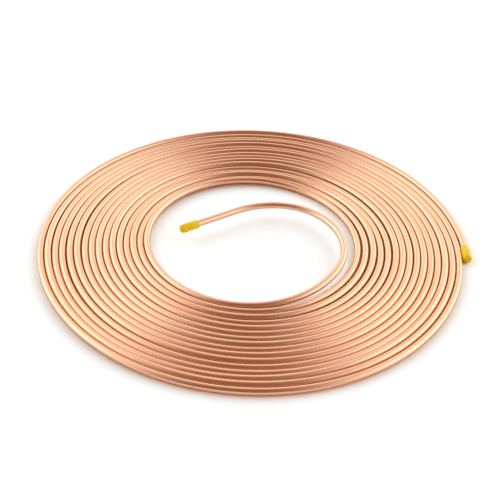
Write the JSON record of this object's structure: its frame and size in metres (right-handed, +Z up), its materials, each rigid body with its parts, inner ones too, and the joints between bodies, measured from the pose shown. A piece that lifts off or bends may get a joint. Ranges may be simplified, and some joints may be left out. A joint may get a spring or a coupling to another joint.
{
  "type": "copper tube coil",
  "caption": "Soft copper tube wound flat in one layer as a ring, its two free ends closed by push-on plastic caps.",
  "frame": {"origin": "middle of the bounding box in plan, on the face that the coil lies on", "axes": "+Z up through the hole of the coil; +X towards the outer free end; +Y to the far side of the coil, away from where its outer cap points"},
  "size_m": [0.414, 0.4064, 0.0179],
  "materials": {
    "copper": "bright drawn copper, lightly satin",
    "cap_plastic": "soft yellow moulded plastic"
  },
  "bodies": {
    "root": {"copper_tube": "copper", "outer_end_cap": "cap_plastic", "inner_end_cap": "cap_plastic"}
  },
  "joints": []
}
